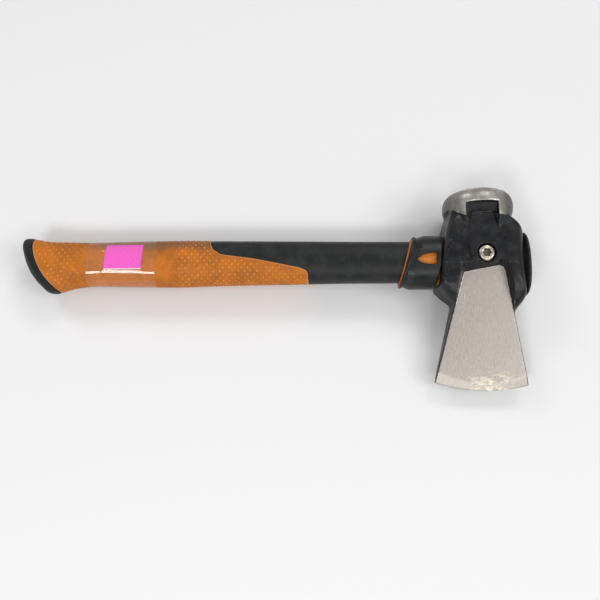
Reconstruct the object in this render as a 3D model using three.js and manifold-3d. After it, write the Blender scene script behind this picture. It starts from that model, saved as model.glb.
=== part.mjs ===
// A one-hand splitting hatchet with a round hammer poll, lying on its side on a table.
//
// The tool frame, in millimetres: x runs along the handle from the butt to the head, y runs along
// the head from the cutting edge (-y) to the striking face (+y), and z is the tool's thickness.
// Its origin is in the middle of the head's eye. The last section turns the tool into its resting
// pose and sets it on z = 0.

import * as THREE from "three";
import { mergeVertices } from "three/addons/utils/BufferGeometryUtils.js";
import Module from "manifold-3d";

const wasm = await Module();
wasm.setup();

// ---------------------------------------------------------------- driving dimensions, mm and degrees

const GAP = 0.3; // clearance between neighbouring solids
const CUT = 60; // reach of a cutter past the piece that it cuts

const POLL_RADIUS = 24.6;
const POLL_CORNER = 6.2;
const POLL_FACE_Y = 50.2;
const POLL_CROWN = 0.8;
const POLL_BAND_Y = 36.5; // where the ground band of the poll starts
const NECK_RADIUS = 22.6;
const NECK_Y = 29;
const NOTCH_CENTRE_X = -2.2;
const NOTCH_WIDTH = 22;
const NOTCH_END_Y = 31.8;
const NOTCH_DEPTH = 2; // below the pad

const CHEEK_Z = 19.2; // half thickness of the eye block
const PAD_Z = 20.4; // half thickness over the pads round the screw
const LEFT_ROUNDING = 5.5; // of the cheeks towards the collar
const RIGHT_ROUNDING = 12; // and towards the cap
const EYE_HALF_HEIGHT = 17;
const EYE_HALF_THICKNESS = 10.4;
const EYE_EXPONENT = 3.4;
const HEAD_LEFT_X = -31.4;
const HEAD_RIGHT_X = 29;

const EDGE_CENTRE = new THREE.Vector2(-0.75, 22.2);
const EDGE_RADIUS = 111.6;
const EDGE_HALF_THICKNESS = 0.15;
const EDGE_BEVEL = 20; // each side
const BLADE_HALF_ANGLE = 7.4;
const BLADE_EDGE_HALF = 1.4; // half thickness that the cheek planes would have at the edge
const FLAT_LEFT_TOP = new THREE.Vector2(-15.9, -10);
const FLAT_RIGHT_TOP = new THREE.Vector2(11.2, -4.6);
const HEEL = new THREE.Vector2(-35.4, -83.6);
const TOE = new THREE.Vector2(27.8, -85.7);

const SCREW_AT = new THREE.Vector2(-0.3, 2.6);
const SCREW_RADIUS = 3;
const SCREW_HEAD_RADIUS = 5.75;
const SCREW_HEAD_HEIGHT = 3.4;
const SCREW_SOCKET_RADIUS = 3.1;
const SCREW_SOCKET_DEPTH = 2.2;
const COUNTERBORE_RADIUS = 6.7;
const COUNTERBORE_DEPTH = 5.4;
const WASHER_THICKNESS = 1.4;
const BARREL_RADIUS = 4.8;
const BUSH_RADIUS = 6.9;

const CORE_HALF_HEIGHT = 12.4;
const CORE_HALF_THICKNESS = 7.6;
const CORE_EXPONENT = 3;
const CORE_LEFT_X = -292;
const CORE_RIGHT_X = 27.6;
const SLEEVE_LEFT_X = -96;
const SLEEVE_HALF_HEIGHT = 14.6; // under the collar
const SLEEVE_HALF_THICKNESS = 12.9;

const COLLAR_HALF_HEIGHT = 18.9;
const COLLAR_HALF_THICKNESS = 16.2;
const COLLAR_WALL = 2.7;
const COLLAR_CENTRE_Y = 0.5;
const COLLAR_LEFT = { x: -53.2, lean: 0.28 }; // x on the axis, and how far the rim leans per mm of y
const COLLAR_RIGHT = { x: -30.9, lean: 0.133 };
const SLEEVE_LIP = 0.8; // how far the orange sleeve shows beyond the collar's rim
const COLLAR_CHAMFER = 6;

const CAP_HALF_HEIGHT = 22.6;
const CAP_HALF_THICKNESS = 15;
const CAP_CENTRE_Y = -1;
const CAP_DOME = 4;
const CAP_SPIGOT = 9;

const BUTT_END = { centre: new THREE.Vector2(-274.5, 20.1), radius: 50.2 };
const BUTT_SEAM = { centre: new THREE.Vector2(-245.8, 28.3), radius: 70 }; // between cap and grip
// How far the butt's end draws in (first) at a height over the tool's middle plane (second).
const BUTT_ROUNDING = [[0, 0], [0.8, 6], [2.3, 10], [4.6, 13], [7.5, 15.2], [12, 17.4], [16, 19]];

const TAPE_X = [-275.5, -227.5];
const LABEL_X = [-262.8, -236.9];
const LABEL_Y = [-7, 10.4];
const FILM = 0.3;

const REST_ROLL = 5.74; // about x: it lies on the poll and on the lower cheek's pad
const REST_PITCH = -0.87; // about y: the butt is the third point that it lies on

// ---------------------------------------------------------------- solids

// The closed mesh of a three.js geometry as a manifold-3d solid, faces out.
function solid(geometry) {
  const plain = geometry.clone();
  plain.deleteAttribute("normal");
  plain.deleteAttribute("uv");
  const merged = mergeVertices(plain, 1e-4);
  const triangles = new Uint32Array(merged.index.array);
  const make = () =>
    new wasm.Manifold(
      new wasm.Mesh({ numProp: 3, vertProperties: merged.attributes.position.array, triVerts: triangles }),
    );
  const made = make();
  if (made.volume() > 0) return made;
  for (let i = 0; i < triangles.length; i += 3) {
    [triangles[i + 1], triangles[i + 2]] = [triangles[i + 2], triangles[i + 1]];
  }
  return make();
}

function geometryOf(manifold) {
  const mesh = manifold.getMesh();
  const geometry = new THREE.BufferGeometry();
  geometry.setAttribute("position", new THREE.BufferAttribute(mesh.vertProperties, 3));
  geometry.setIndex(new THREE.BufferAttribute(mesh.triVerts, 1));
  geometry.computeVertexNormals();
  return geometry;
}

const common = (first, ...others) => others.reduce((a, b) => a.intersect(b), first);
const joined = (first, ...others) => others.reduce((a, b) => a.add(b), first);

// An outline in the xy plane, made into a solid from z = -reach to z = reach.
function prism(points, reach = CUT) {
  const shape = new THREE.Shape(points.map(([x, y]) => new THREE.Vector2(x, y)));
  const geometry = new THREE.ExtrudeGeometry(shape, { depth: 2 * reach, bevelEnabled: false });
  return solid(geometry.translate(0, 0, -reach));
}

// An outline in the yz plane, made into a solid along x.
function prismAlongX(points, reach = CUT) {
  const shape = new THREE.Shape(points.map(([y, z]) => new THREE.Vector2(y, z)));
  const geometry = new THREE.ExtrudeGeometry(shape, { depth: 2 * reach, bevelEnabled: false });
  geometry.translate(0, 0, -reach);
  const turn = new THREE.Matrix4().makeBasis(
    new THREE.Vector3(0, 1, 0), new THREE.Vector3(0, 0, 1), new THREE.Vector3(1, 0, 0));
  return solid(geometry.applyMatrix4(turn));
}

// An outline in the xz plane, made into a solid along y.
function prismAlongY(points, reach = CUT) {
  const shape = new THREE.Shape(points.map(([x, z]) => new THREE.Vector2(x, -z)));
  const geometry = new THREE.ExtrudeGeometry(shape, { depth: 2 * reach, bevelEnabled: false });
  return solid(geometry.translate(0, 0, -reach).rotateX(-Math.PI / 2));
}

// A profile of [radius, height] points, turned about the z axis through the point at.
function turned(profile, at = new THREE.Vector2(), segments = 32) {
  const geometry = new THREE.LatheGeometry(profile.map(([r, h]) => new THREE.Vector2(r, h)), segments);
  return solid(geometry.rotateX(Math.PI / 2).translate(at.x, at.y, 0));
}

// One oval section of the handle: a ring of points in the plane of constant x.
function ring(x, { y = 0, high, thick, exponent = 2.3 }, count = 36) {
  return Array.from({ length: count }, (_, k) => {
    const angle = (2 * Math.PI * k) / count;
    const power = (v) => Math.sign(v) * Math.abs(v) ** (2 / exponent);
    return new THREE.Vector3(x, y + high * power(Math.cos(angle)), thick * power(Math.sin(angle)));
  });
}

// A closed solid through rings that follow each other along +x.
function loft(rings) {
  const count = rings[0].length;
  const points = rings.flat();
  const last = rings.length - 1;
  const centre = (r) => r.reduce((sum, p) => sum.add(p), new THREE.Vector3()).divideScalar(count);
  points.push(centre(rings[0]), centre(rings[last]));
  const faces = [];
  for (let j = 0; j < count; j++) {
    const k = (j + 1) % count;
    for (let i = 0; i < last; i++) {
      const a = i * count;
      const b = a + count;
      faces.push(a + j, a + k, b + k, a + j, b + k, b + j);
    }
    faces.push(points.length - 2, k, j, points.length - 1, last * count + j, last * count + k);
  }
  const geometry = new THREE.BufferGeometry().setFromPoints(points);
  return solid(geometry.setIndex(faces));
}

// An outline's upper half [u, v], closed by its mirror image in v = 0.
const mirrored = (points) => [...points, ...points.map(([u, v]) => [u, -v]).reverse()];

// Points on an arc in a plane, from one angle to another, in degrees.
function arc(centre, radius, from, to, steps) {
  return Array.from({ length: steps + 1 }, (_, k) => {
    const angle = THREE.MathUtils.degToRad(from + ((to - from) * k) / steps);
    return [centre.x + radius * Math.cos(angle), centre.y + radius * Math.sin(angle)];
  });
}

// ---------------------------------------------------------------- the handle's outer surface

// Stations along the handle: x, centre y, half height, half thickness. The butt flares.
const HANDLE = [
  [-345, -24, 22.5, 18],
  [-325, -7.2, 25.2, 17],
  [-304, -3.0, 19.4, 15.3],
  [-289, -0.6, 16.6, 13.6],
  [-275, 0.2, 15.6, 13.0],
  [-250, 0.3, 16.0, 13.2],
  [-215, 0.3, 16.4, 13.6],
  [-180, 0.7, 15.8, 13.0],
  [-125, 0.8, 15.2, 12.4],
  [-90, 0.8, 14.8, 12.0],
  [-40, 0.7, 14.5, 12.0],
];

// A smooth curve through the stations, as one section of the handle.
function handleSection(x, grow = 0) {
  const last = HANDLE.length - 1;
  const i = Math.min(Math.max(HANDLE.findIndex((s) => s[0] > x) - 1, 0), last - 1);
  const [a, b] = [HANDLE[i], HANDLE[i + 1]];
  const t = (x - a[0]) / (b[0] - a[0]);
  const slope = (k, column) => {
    const [before, after] = [HANDLE[Math.max(k - 1, 0)], HANDLE[Math.min(k + 1, last)]];
    return (after[column] - before[column]) / (after[0] - before[0]);
  };
  const at = (column) => {
    const span = b[0] - a[0];
    return (
      (2 * t ** 3 - 3 * t ** 2 + 1) * a[column] + (t ** 3 - 2 * t ** 2 + t) * span * slope(i, column) +
      (3 * t ** 2 - 2 * t ** 3) * b[column] + (t ** 3 - t ** 2) * span * slope(i + 1, column)
    );
  };
  return { y: at(1), high: at(2) + grow, thick: at(3) + grow };
}

function handleSolid(from, to, steps, grow = 0) {
  const xs = Array.from({ length: steps + 1 }, (_, k) => from + ((to - from) * k) / steps);
  return loft(xs.map((x) => ring(x, handleSection(x, grow))));
}

// Everything on the right of an arc across the butt, in the xy plane.
const rightOf = ({ centre, radius }) =>
  prism([...arc(centre, radius, 150, 255, 22), [60, -60], [60, 60], [-300, 60]]);

// The butt's rounded end: a disc about the end arc's centre, joined to the rest of the handle.
function buttEnd() {
  const { centre, radius } = BUTT_END;
  const upper = BUTT_ROUNDING.map(([inset, height]) => [radius - inset, height]);
  const lower = upper.slice(1).map(([r, height]) => [r, -height]);
  const rim = [...lower.reverse(), ...upper];
  const disc = turned([[0, rim[0][1]], ...rim, [0, rim.at(-1)[1]]], centre, 96);
  return joined(disc, prism([[centre.x - 12, -60], [60, -60], [60, 60], [centre.x - 12, 60]]));
}

// ---------------------------------------------------------------- the fibreglass core and its hole

const coreSection = (x, grow = 0) => {
  const slim = x < SLEEVE_LEFT_X ? 2.6 : 0;
  return {
    y: handleSection(Math.min(x, -40)).y * (x < -40 ? 1 : 0),
    high: CORE_HALF_HEIGHT - slim + grow,
    thick: CORE_HALF_THICKNESS + grow,
    exponent: CORE_EXPONENT,
  };
};

function coreSolid(from, to, grow = 0) {
  const stops = [from, -250, -150, SLEEVE_LEFT_X - 12, SLEEVE_LEFT_X + 2, -60, -38, to];
  const xs = stops.filter((x) => x >= from && x <= to);
  return loft([...new Set(xs)].map((x) => ring(x, coreSection(x, grow), 28)));
}

const alongScrew = (radius, low, high) =>
  turned([[0, low], [radius, low], [radius, high], [0, high]], SCREW_AT);

function handleCore() {
  const spigotHole = loft(
    [CORE_RIGHT_X - CAP_SPIGOT - 1, CORE_RIGHT_X + 5].map((x) => ring(x, { high: 8.3, thick: 4.3 }, 24)),
  );
  return coreSolid(CORE_LEFT_X, CORE_RIGHT_X).subtract(alongScrew(BUSH_RADIUS + GAP, -CUT, CUT))
    .subtract(spigotHole);
}

// A steel tube through the core that the screw clamps on instead of the fibreglass.
const coreBush = () =>
  alongScrew(BUSH_RADIUS, -CORE_HALF_THICKNESS, CORE_HALF_THICKNESS)
    .subtract(alongScrew(BARREL_RADIUS + GAP, -CUT, CUT));

// ---------------------------------------------------------------- the head

const alongLine = (a, b, y) => a.x + ((b.x - a.x) * (y - a.y)) / (b.y - a.y);

// Blade: its outline from above, its wedge from the side, and the disc whose rim is the cutting edge.
function blade() {
  const [low, high] = [-98, 4];
  const outline = prism([
    [alongLine(FLAT_LEFT_TOP, HEEL, high), high],
    [alongLine(FLAT_LEFT_TOP, HEEL, low), low],
    [alongLine(FLAT_RIGHT_TOP, TOE, low), low],
    [alongLine(FLAT_RIGHT_TOP, TOE, high), high],
  ]);
  const edgeY = EDGE_CENTRE.y - EDGE_RADIUS;
  const half = (y) => BLADE_EDGE_HALF + (y - edgeY) * Math.tan(THREE.MathUtils.degToRad(BLADE_HALF_ANGLE));
  const wedge = prismAlongX(mirrored([[low, half(low)], [high, half(high)]]));
  const rise = 28;
  const run = rise / Math.tan(THREE.MathUtils.degToRad(EDGE_BEVEL));
  const disc = turned(
    [
      [0, -rise], [EDGE_RADIUS - run, -rise], [EDGE_RADIUS, -EDGE_HALF_THICKNESS],
      [EDGE_RADIUS, EDGE_HALF_THICKNESS], [EDGE_RADIUS - run, rise], [0, rise],
    ],
    EDGE_CENTRE, 160,
  );
  return common(outline, wedge, disc);
}

// Section of the eye block across the handle: flat cheeks that round off towards both ends of the eye.
function eyeEnds(half) {
  const right = arc(
    new THREE.Vector2(HEAD_RIGHT_X + 1 - RIGHT_ROUNDING, half - RIGHT_ROUNDING), RIGHT_ROUNDING, 0, 90, 4);
  const left = arc(
    new THREE.Vector2(HEAD_LEFT_X + LEFT_ROUNDING, half - LEFT_ROUNDING), LEFT_ROUNDING, 90, 180, 4);
  return prismAlongY(mirrored([...left.reverse(), ...right.reverse()]));
}

function eyeBlock() {
  const outline = prism([
    [-22.6, 34], [-24.2, 27.5], [-26.9, 22], [HEAD_LEFT_X, -14], [-31.2, -20], [-30, -22.8],
    [-25, -26.4], [-23.2, -32],
    [-23.2, -36], [19.4, -42], [20.2, -37.5], [24.2, -32.5], [28.2, -28], [HEAD_RIGHT_X, -24],
    [HEAD_RIGHT_X, 17], [26, 23], [21.8, 27], [21.4, 34],
  ]);
  const profile = prismAlongX(mirrored(
    [[34, 15.6], [27, 18], [19, CHEEK_Z], [-3.4, CHEEK_Z], [-8, 12.4], [-20, 8], [-44, 4]]));
  return common(outline, eyeEnds(CHEEK_Z), profile);
}

// Thickened ends of the eye that run on past the block, left and right of the blade's root.
function lugs() {
  const left = prism([
    [-28.4, 10], [HEAD_LEFT_X, -14], [-31.2, -20], [-30, -22.8], [-25.2, -26.6], [-19, -24], [-14, 0],
  ]);
  const right = prism([
    [11, 0], [17.5, -31], [24.2, -32.5], [28.2, -28], [HEAD_RIGHT_X, -24], [HEAD_RIGHT_X, 10],
  ]);
  const profile = prismAlongX(mirrored([[12, 18.8], [-8, 18.4], [-18, 16.2], [-25, 12.4], [-33, 7]]));
  return common(joined(left, right), profile, eyeEnds(18.8));
}

// Poll: a round hammer face with a waist behind it, turned about the head's long axis.
function poll() {
  const corner = new THREE.Vector2(POLL_RADIUS - POLL_CORNER, POLL_FACE_Y - POLL_CORNER);
  const profile = [
    [0, 5], [21, 5], [21.6, 20], [NECK_RADIUS, NECK_Y], [POLL_RADIUS - 0.5, POLL_BAND_Y - 1.5],
    [POLL_RADIUS, POLL_BAND_Y], ...arc(corner, POLL_CORNER, 0, 84, 5),
    [12, POLL_FACE_Y + POLL_CROWN * 0.7], [0, POLL_FACE_Y + POLL_CROWN],
  ];
  return solid(new THREE.LatheGeometry(profile.map(([r, y]) => new THREE.Vector2(r, y)), 48));
}

// Flat pad round the screw, which runs up to the groove at the poll.
function pad() {
  const outline = [
    [-9.4, NOTCH_END_Y], [5.7, NOTCH_END_Y], [8.4, 20], [11, 8],
    [9, -2.4], [-10, -2.4], [-13.6, 8], [-12, 20],
  ];
  return prism(outline, PAD_Z);
}

// Groove across the poll's root, with a ramp up to the turned band; side is +1 for the upper cheek.
function notch(side) {
  const floor = PAD_Z - NOTCH_DEPTH;
  const cut = prismAlongX(
    [
      [NOTCH_END_Y, side * floor], [NOTCH_END_Y + 1.2, side * floor], [POLL_BAND_Y + 1.4, side * 23],
      [POLL_BAND_Y + 1.4, side * CUT], [NOTCH_END_Y, side * CUT],
    ],
    NOTCH_WIDTH / 2,
  );
  return cut.translate([NOTCH_CENTRE_X, 0, 0]);
}

// The cheeks are flat below the groove, so they also cut the waist of the poll.
const cheekCut = (side) =>
  prismAlongX([
    [-10, side * CHEEK_Z], [NOTCH_END_Y, side * CHEEK_Z], [NOTCH_END_Y, side * CUT], [-10, side * CUT],
  ]);

function headForging() {
  const eye = loft(
    [-CUT, CUT].map((x) =>
      ring(x, { high: EYE_HALF_HEIGHT, thick: EYE_HALF_THICKNESS, exponent: EYE_EXPONENT }, 40)),
  );
  const turnedPoll = poll().subtract(cheekCut(1)).subtract(cheekCut(-1));
  return joined(eyeBlock(), lugs(), turnedPoll, blade(), pad())
    .subtract(notch(1))
    .subtract(notch(-1))
    .subtract(eye)
    .subtract(alongScrew(COUNTERBORE_RADIUS, PAD_Z - COUNTERBORE_DEPTH, CUT))
    .subtract(alongScrew(COUNTERBORE_RADIUS, -CUT, COUNTERBORE_DEPTH - PAD_Z))
    .subtract(alongScrew(BARREL_RADIUS + GAP, -CUT, CUT));
}

// ---------------------------------------------------------------- fasteners of the head

// A six-lobed driver socket: an outline with a rounded lobe every 60 degrees.
function socket(top) {
  const outline = Array.from({ length: 36 }, (_, k) => {
    const angle = (2 * Math.PI * k) / 36;
    const radius = SCREW_SOCKET_RADIUS * (0.9 + 0.1 * Math.cos(6 * angle));
    return [radius * Math.cos(angle), radius * Math.sin(angle)];
  });
  const cut = prism(outline, SCREW_SOCKET_DEPTH).translate([SCREW_AT.x, SCREW_AT.y, top]);
  return cut;
}

function headScrew() {
  const top = PAD_Z - 0.4;
  const under = top - SCREW_HEAD_HEIGHT;
  return turned(
    [
      [0, -11], [SCREW_RADIUS - 0.8, -11], [SCREW_RADIUS, -10.2], [SCREW_RADIUS, under],
      [SCREW_HEAD_RADIUS, under],
      [SCREW_HEAD_RADIUS, top - 1.5], [SCREW_HEAD_RADIUS - 0.9, top - 0.5],
      [SCREW_HEAD_RADIUS - 1.8, top], [0, top],
    ],
    SCREW_AT, 40,
  ).subtract(socket(top));
}

// Split spring washer under the screw's head.
function springWasher() {
  const high = PAD_Z - 0.4 - SCREW_HEAD_HEIGHT - GAP;
  const low = high - WASHER_THICKNESS + GAP;
  const [inner, outer] = [SCREW_RADIUS + GAP, SCREW_HEAD_RADIUS - 0.2];
  const washer = turned([[inner, low], [outer, low], [outer, high], [inner, high], [inner, low]], SCREW_AT);
  const split = prism([
    [SCREW_AT.x, -0.5 + SCREW_AT.y], [20, -0.9], [20, 0.3], [SCREW_AT.x, 0.5 + SCREW_AT.y],
  ]);
  return washer.subtract(split);
}

// Barrel nut: comes in from the other cheek and takes the screw's thread inside the bush.
function barrelNut() {
  const bottom = 0.4 - PAD_Z;
  const under = bottom + SCREW_HEAD_HEIGHT;
  const bore = SCREW_RADIUS + GAP;
  const nut = turned(
    [
      [0, bottom], [SCREW_HEAD_RADIUS - 1.8, bottom], [SCREW_HEAD_RADIUS - 0.9, bottom + 0.5],
      [SCREW_HEAD_RADIUS, bottom + 1.5], [SCREW_HEAD_RADIUS, under], [BARREL_RADIUS, under],
      [BARREL_RADIUS, 9], [bore, 9], [bore, -12.5], [0, -12.5],
    ],
    SCREW_AT, 40,
  );
  return nut.subtract(socket(bottom));
}

// ---------------------------------------------------------------- sleeve, shell, grip and collar

// Orange elastomer that keeps the core away from the steel: shell bore, collar and eye in one moulding.
function isolationSleeve() {
  const inEye = loft(
    [-36, CORE_RIGHT_X].map((x) =>
      ring(x, { high: EYE_HALF_HEIGHT - GAP, thick: EYE_HALF_THICKNESS - GAP, exponent: EYE_EXPONENT }, 40)),
  ).subtract(betweenRims(-20, GAP));
  const underCollar = loft([-70, -24].map((x) => ring(x, {
    y: COLLAR_CENTRE_Y,
    high: COLLAR_HALF_HEIGHT - COLLAR_WALL - GAP,
    thick: COLLAR_HALF_THICKNESS - COLLAR_WALL - GAP,
    exponent: 2.3,
  }))).intersect(betweenRims(-SLEEVE_LIP, 1.5 * GAP));
  const inShell = loft([SLEEVE_LEFT_X, -45].map((x) => {
    const { y: centre, high, thick } = handleSection(x);
    return ring(x, { y: centre, high: high - 1.9, thick: thick - 1.9 });
  }));
  return joined(underCollar, inShell, inEye)
    .subtract(coreSolid(-130, 60, GAP))
    .subtract(alongScrew(BUSH_RADIUS + GAP, -CUT, CUT));
}

// The line between the black shell and the orange grip, seen from above; offset moves it into the shell.
const tongueLine = (offset) => [
  [-189.6 + offset, 40], [-189.6 + offset, 13], [-187.4 + offset, 8], [-182 + offset, 4.3 + offset],
  [-175, 3.2 + offset], [-159.7, 1.2 + offset], [-127.4, -5.3 + offset], [-122.9 + offset, -7.2 + offset],
  [-121.6 + offset, -9.6], [-121.6 + offset, -40],
];

function shaftShell() {
  const region = prism([...tongueLine(GAP), [-20, -40], [-20, 40]]);
  const sleeveHole = loft([SLEEVE_LEFT_X - GAP, 0].map((x) => {
    const { y, high, thick } = handleSection(Math.min(x, -41));
    return ring(x, { y, high: high - 1.6, thick: thick - 1.6 });
  }));
  return common(handleSolid(-200, -41, 20), region)
    .subtract(coreSolid(-260, 60, GAP))
    .subtract(sleeveHole)
    .subtract(betweenRims(-SLEEVE_LIP - GAP, 40));
}

function gripSleeve() {
  const region = prism([[-340, 40], ...tongueLine(0), [-340, -40]]);
  const seam = rightOf({ ...BUTT_SEAM, radius: BUTT_SEAM.radius - GAP });
  return common(handleSolid(-336, -110, 32), region, seam)
    .subtract(coreSolid(CORE_LEFT_X - GAP, 60, GAP));
}

const buttCap = () => common(handleSolid(-336, -250, 16), buttEnd()).subtract(rightOf(BUTT_SEAM));

// Everything between the collar's two leaning rims; each rim can be moved along x.
function betweenRims(moveLeft, moveRight) {
  const at = (rim, y, move) => [rim.x + rim.lean * y + move, y];
  return prism([
    at(COLLAR_LEFT, 40, moveLeft), at(COLLAR_LEFT, -40, moveLeft),
    at(COLLAR_RIGHT, -40, moveRight), at(COLLAR_RIGHT, 40, moveRight),
  ]);
}

// Hard black guard below the head, with a leaf-shaped window on each side.
function collar() {
  const section = (x, shrink) => ring(x, {
    y: COLLAR_CENTRE_Y, high: COLLAR_HALF_HEIGHT - shrink, thick: COLLAR_HALF_THICKNESS - shrink,
  });
  const leaning = (points) => points.map((p) => p.clone().setX(p.x + p.y * COLLAR_LEFT.lean));
  const outer = loft([
    leaning(section(COLLAR_LEFT.x - 5, 2)), leaning(section(COLLAR_LEFT.x, 1.6)),
    leaning(section(COLLAR_LEFT.x + COLLAR_CHAMFER, 0)), section(-20, 0),
  ]);
  const bore = loft([-80, 0].map((x) => section(x, COLLAR_WALL)));
  const leaf = [[-46.8, -0.8], [-43.5, 2], [-39, 3.6], [-34.6, 4], [-34.6, -3.8], [-40, -4], [-44.5, -2.8]];
  return common(outer, betweenRims(0, 0)).subtract(bore).subtract(prism(leaf));
}

// ---------------------------------------------------------------- cap over the eye's far end

function topCap() {
  const x = HEAD_RIGHT_X + GAP;
  const section = (at, shrink) =>
    ring(at, { y: CAP_CENTRE_Y, high: CAP_HALF_HEIGHT - shrink, thick: CAP_HALF_THICKNESS - shrink }, 40);
  const dome = loft([
    section(x, 0.6), section(x + 0.5, 0), section(x + 0.35 * CAP_DOME, 0.4),
    section(x + 0.65 * CAP_DOME, 2.4),
    section(x + 0.88 * CAP_DOME, 5.6), section(x + CAP_DOME, 10),
  ]);
  const spigot = loft([CORE_RIGHT_X - CAP_SPIGOT, x + 1].map((at) => ring(at, { high: 8, thick: 4 }, 24)));
  return dome.add(spigot);
}

// ---------------------------------------------------------------- label and the film over it

function film(from, to, steps, lift) {
  const outer = handleSolid(from, to, steps, lift + FILM);
  return outer.subtract(handleSolid(from - 1, to + 1, steps, lift));
}

function label() {
  const area = prism([
    [LABEL_X[0], LABEL_Y[0]], [LABEL_X[1], LABEL_Y[0]], [LABEL_X[1], LABEL_Y[1]], [LABEL_X[0], LABEL_Y[1]],
  ], 30);
  const upper = prism([[-300, -30], [-200, -30], [-200, 30], [-300, 30]], 20).translate([0, 0, 20]);
  return common(film(LABEL_X[0] - 4, LABEL_X[1] + 4, 10, GAP), area, upper);
}

const tape = () => film(TAPE_X[0], TAPE_X[1], 10, 2 * GAP + FILM);

// ---------------------------------------------------------------- materials

const material = (color, roughness, metalness = 0, more = {}) =>
  new THREE.MeshStandardMaterial({ color, roughness, metalness, ...more });

const BLACK_PAINT = material(0x1d1e20, 0.42);
const BLACK_PLASTIC = material(0x232527, 0.55);
const ORANGE_RUBBER = material(0xcf7a1e, 0.6);
const ORANGE_SLEEVE = material(0xf08018, 0.5);
const STEEL = material(0xb9b5aa, 0.35, 1);
const FIBREGLASS = material(0xc9b98c, 0.5);
const PINK_PAPER = material(0xee5ad6, 0.6);
const CLEAR_FILM = material(0xffffff, 0.08, 0, { transparent: true, opacity: 0.2 });

// ---------------------------------------------------------------- assembly

const PARTS = [
  ["head_forging", headForging(), BLACK_PAINT],
  ["head_screw", headScrew(), STEEL],
  ["spring_washer", springWasher(), STEEL],
  ["barrel_nut", barrelNut(), STEEL],
  ["core_bush", coreBush(), STEEL],
  ["handle_core", handleCore(), FIBREGLASS],
  ["isolation_sleeve", isolationSleeve(), ORANGE_SLEEVE],
  ["shaft_shell", shaftShell(), BLACK_PLASTIC],
  ["grip_sleeve", gripSleeve(), ORANGE_RUBBER],
  ["butt_cap", buttCap(), BLACK_PLASTIC],
  ["collar", collar(), BLACK_PLASTIC],
  ["top_cap", topCap(), BLACK_PLASTIC],
  ["label", label(), PINK_PAPER],
  ["clear_tape", tape(), CLEAR_FILM],
];

const tool = new THREE.Group();
for (const [name, manifold, finish] of PARTS) {
  const mesh = new THREE.Mesh(geometryOf(manifold), finish);
  mesh.name = name;
  tool.add(mesh);
}
tool.rotation.set(THREE.MathUtils.degToRad(REST_ROLL), THREE.MathUtils.degToRad(REST_PITCH), 0, "ZYX");

const part = new THREE.Group();
part.add(tool);
part.updateMatrixWorld(true);
const box = new THREE.Box3().setFromObject(part, true);
const middle = box.getCenter(new THREE.Vector3());
tool.position.set(-middle.x, -middle.y, -box.min.z);

export default part;
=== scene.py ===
"""Looks of the splitting hatchet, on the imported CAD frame.

Shapes are worked out in the tool frame, in millimetres, as in the CAD: x along the handle towards
the head, y along the head towards the hammer face, z the tool's thickness, origin in the head's eye.
placed() turns them into the row frame, in metres, where the tool lies on its side.
"""

import math

import bpy
import numpy as np
from mathutils import Euler, Matrix, Vector


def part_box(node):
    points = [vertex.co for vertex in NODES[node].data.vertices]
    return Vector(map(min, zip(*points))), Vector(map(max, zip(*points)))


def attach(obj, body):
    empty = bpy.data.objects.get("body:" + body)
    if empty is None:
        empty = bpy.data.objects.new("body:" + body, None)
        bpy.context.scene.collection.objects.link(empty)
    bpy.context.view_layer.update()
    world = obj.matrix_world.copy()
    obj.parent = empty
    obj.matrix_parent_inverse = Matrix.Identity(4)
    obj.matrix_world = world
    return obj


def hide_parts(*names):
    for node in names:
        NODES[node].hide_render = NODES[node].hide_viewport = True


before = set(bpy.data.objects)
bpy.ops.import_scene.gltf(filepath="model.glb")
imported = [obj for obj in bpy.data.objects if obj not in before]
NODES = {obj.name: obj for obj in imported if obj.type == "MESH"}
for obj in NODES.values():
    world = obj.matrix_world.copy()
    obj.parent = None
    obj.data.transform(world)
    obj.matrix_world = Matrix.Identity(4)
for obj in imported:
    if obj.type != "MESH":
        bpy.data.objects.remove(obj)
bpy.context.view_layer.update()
MM = 0.001

# ------------------------------------------------------------------ driving dimensions, mm and degrees

REST_ROLL = 5.74
REST_PITCH = -0.87
SCREW_AT = (-0.3, 2.6)

POLL_RADIUS = 24.6
POLL_FACE_Y = 51.0
POLL_BAND_Y = 36.5
POLL_ROUNDING = 8.5
CROWN_RADIUS = 130.0
NOTCH_X = (-13.0, 8.7)
NOTCH_Y = (31.8, 38.2)
PAD_Z = 20.4
NOTCH_LOW_Y = 24.0
NOTCH_FLOOR = [(24.0, 19.2), (30.8, 18.8), (31.8, 17.4), (33.2, 17.4), (38.2, 21.0)]  # y, height
PAD_OUTLINE = [(5.9, 32.0), (-9.6, 32.0), (-12.2, 18), (-13.4, 8), (-10, -3.0), (9, -3.0), (11.2, 8),
               (8.6, 20)]

# Outlines of the block and its lugs from above, anticlockwise, and the height of their cheeks over y.
BLOCK_OUTLINE = [(8, 42), (-19.5, 42), (-27.6, 16), (-30.9, -10), (-27, -20), (22, -20), (29, -12),
                 (29, 17), (26.2, 23), (18, 31.5)]
BLOCK_CHEEK = [(-20, 8.0), (-8, 12.4), (-3.6, 19.2), (22, 19.2), (28, 18.2), (34, 16.4), (42, 15.5)]
LEFT_LUG = [(-14, 0), (-20, 9), (-28.3, 9), (-32, -20.5), (-31.2, -23.2), (-24.5, -27.3), (-20.6, -32),
            (-17, -32)]
RIGHT_LUG = [(28.2, 9), (11, 9), (12, -6), (18.6, -40), (20.2, -37.6), (23.8, -32.8), (27.4, -28),
             (28.2, -24)]
LUG_CHEEK = [(-38, 6), (-33, 9), (-28, 12.2), (-23, 15), (-18, 17.1), (-13, 18.4), (-8, 18.9), (12, 18.9)]
END_ROUNDING = 11.0  # of the cheeks towards the cap, which they reach at END_X
END_X = 28.0

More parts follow.
